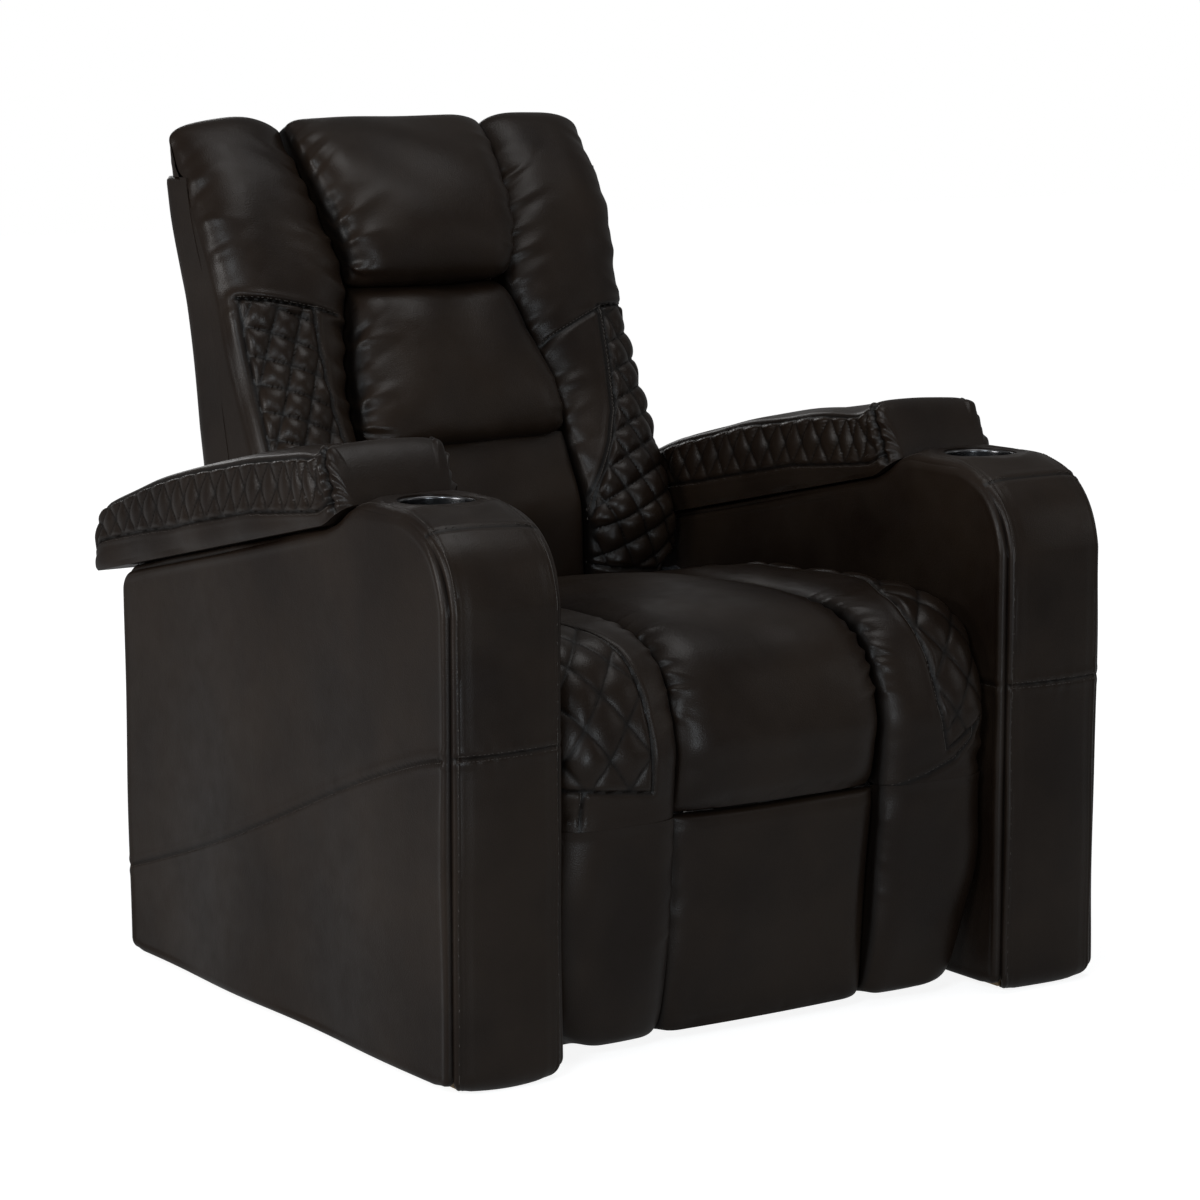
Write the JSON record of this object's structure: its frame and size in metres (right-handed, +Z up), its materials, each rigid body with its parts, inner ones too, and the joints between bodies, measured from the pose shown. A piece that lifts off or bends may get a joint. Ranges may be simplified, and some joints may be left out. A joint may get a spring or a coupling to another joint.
{
  "type": "wall hugger recliner",
  "caption": "Padded power recliner with arm cup holders, forward-sliding seat, reclining back and a folding footrest.",
  "frame": {"origin": "on the floor, under the middle of the chair's overall width and depth", "axes": "+X towards the sitter's left, +Y towards the rear, +Z up; the front of the chair faces -Y"},
  "size_m": [0.955, 0.9504, 1.0434],
  "materials": {
    "espresso_leather": "semi-gloss, fine grain",
    "frame_wood": "raw plywood and solid wood",
    "black_steel": "satin black",
    "zinc_steel": "zinc plated",
    "polished_steel": "polished",
    "black_plastic": "fine texture",
    "grey_nylon": "natural"
  },
  "bodies": {
    "base": {"left_arm_frame": "frame_wood", "left_arm_band": "espresso_leather", "left_arm_outer_panel": "espresso_leather", "left_arm_inner_panel": "espresso_leather", "left_arm_pad": "espresso_leather", "left_cup_holder": "polished_steel", "left_front_glide": "black_plastic", "left_rear_glide": "black_plastic", "left_slide_rail": "zinc_steel", "right_arm_frame": "frame_wood", "right_arm_band": "espresso_leather", "right_arm_outer_panel": "espresso_leather", "right_arm_inner_panel": "espresso_leather", "right_arm_pad": "espresso_leather", "right_cup_holder": "polished_steel", "right_front_glide": "black_plastic", "right_rear_glide": "black_plastic", "right_slide_rail": "zinc_steel", "base_front_rail": "frame_wood", "base_rear_rail": "frame_wood", "actuator_body": "black_plastic", "actuator_mount": "black_steel", "power_inlet": "black_plastic", "switch_plate": "black_plastic"},
    "carriage": {"left_runner": "grey_nylon", "left_side_plate": "black_steel", "right_runner": "grey_nylon", "right_side_plate": "black_steel", "seat_front_beam": "frame_wood", "seat_rear_beam": "frame_wood", "right_seat_spring": "black_steel", "middle_seat_spring": "black_steel", "left_seat_spring": "black_steel", "drive_bar": "black_steel", "actuator_rod": "zinc_steel", "seat_cushion": "espresso_leather", "left_seat_bolster": "espresso_leather", "right_seat_bolster": "espresso_leather"},
    "back": {"back_shell": "espresso_leather", "back_frame": "frame_wood", "left_back_bracket": "black_steel", "right_back_bracket": "black_steel", "headrest_pillow": "espresso_leather", "lumbar_pillow": "espresso_leather", "lower_back_panel": "espresso_leather", "left_back_bolster": "espresso_leather", "right_back_bolster": "espresso_leather"},
    "rear_links": {"torque_tube": "black_steel", "left_rear_link": "black_steel", "right_rear_link": "black_steel"},
    "front_links": {"left_front_link": "black_steel", "right_front_link": "black_steel"},
    "footrest": {"footrest_board": "frame_wood", "left_footrest_bracket": "black_steel", "right_footrest_bracket": "black_steel", "footrest_pad": "espresso_leather", "left_footrest_bolster": "espresso_leather", "right_footrest_bolster": "espresso_leather"},
    "recline_button_body": {"recline_button": "black_plastic"},
    "upright_button_body": {"upright_button": "black_plastic"}
  },
  "joints": [
    {"name": "carriage_slide", "type": "slide", "parent": "base", "child": "carriage", "axis": [0, -1, 0], "range_m": [0, 0.2]},
    {"name": "back_hinge", "type": "hinge", "parent": "carriage", "child": "back", "pos_m": [0, 0.1648, 0.43], "axis": [-1, 0, 0], "range_deg": [0, 40]},
    {"name": "footrest_hinge", "type": "hinge", "parent": "carriage", "child": "rear_links", "pos_m": [0, -0.24127, 0.23617], "axis": [-1, 0, 0], "range_deg": [0, 60]},
    {"name": "elbow_hinge", "type": "hinge", "parent": "rear_links", "child": "front_links", "pos_m": [0, -0.30167, 0.04265], "axis": [-1, 0, 0], "range_deg": [-120, 0]},
    {"name": "ottoman_hinge", "type": "hinge", "parent": "front_links", "child": "footrest", "pos_m": [0, -0.3252, 0.244], "axis": [-1, 0, 0], "range_deg": [0, 150]},
    {"name": "recline_press", "type": "slide", "parent": "base", "child": "recline_button_body", "axis": [-1, 0, 0], "range_m": [0, 0.0015], "stiffness_N_per_m": 300},
    {"name": "upright_press", "type": "slide", "parent": "base", "child": "upright_button_body", "axis": [-1, 0, 0], "range_m": [0, 0.0015], "stiffness_N_per_m": 300}
  ],
  "couplings": [
    {"joint": "back_hinge", "follows": "carriage_slide", "rad_per_m": 3.49},
    {"joint": "elbow_hinge", "follows": "footrest_hinge", "ratio": -2},
    {"joint": "ottoman_hinge", "follows": "footrest_hinge", "ratio": 2.5}
  ]
}
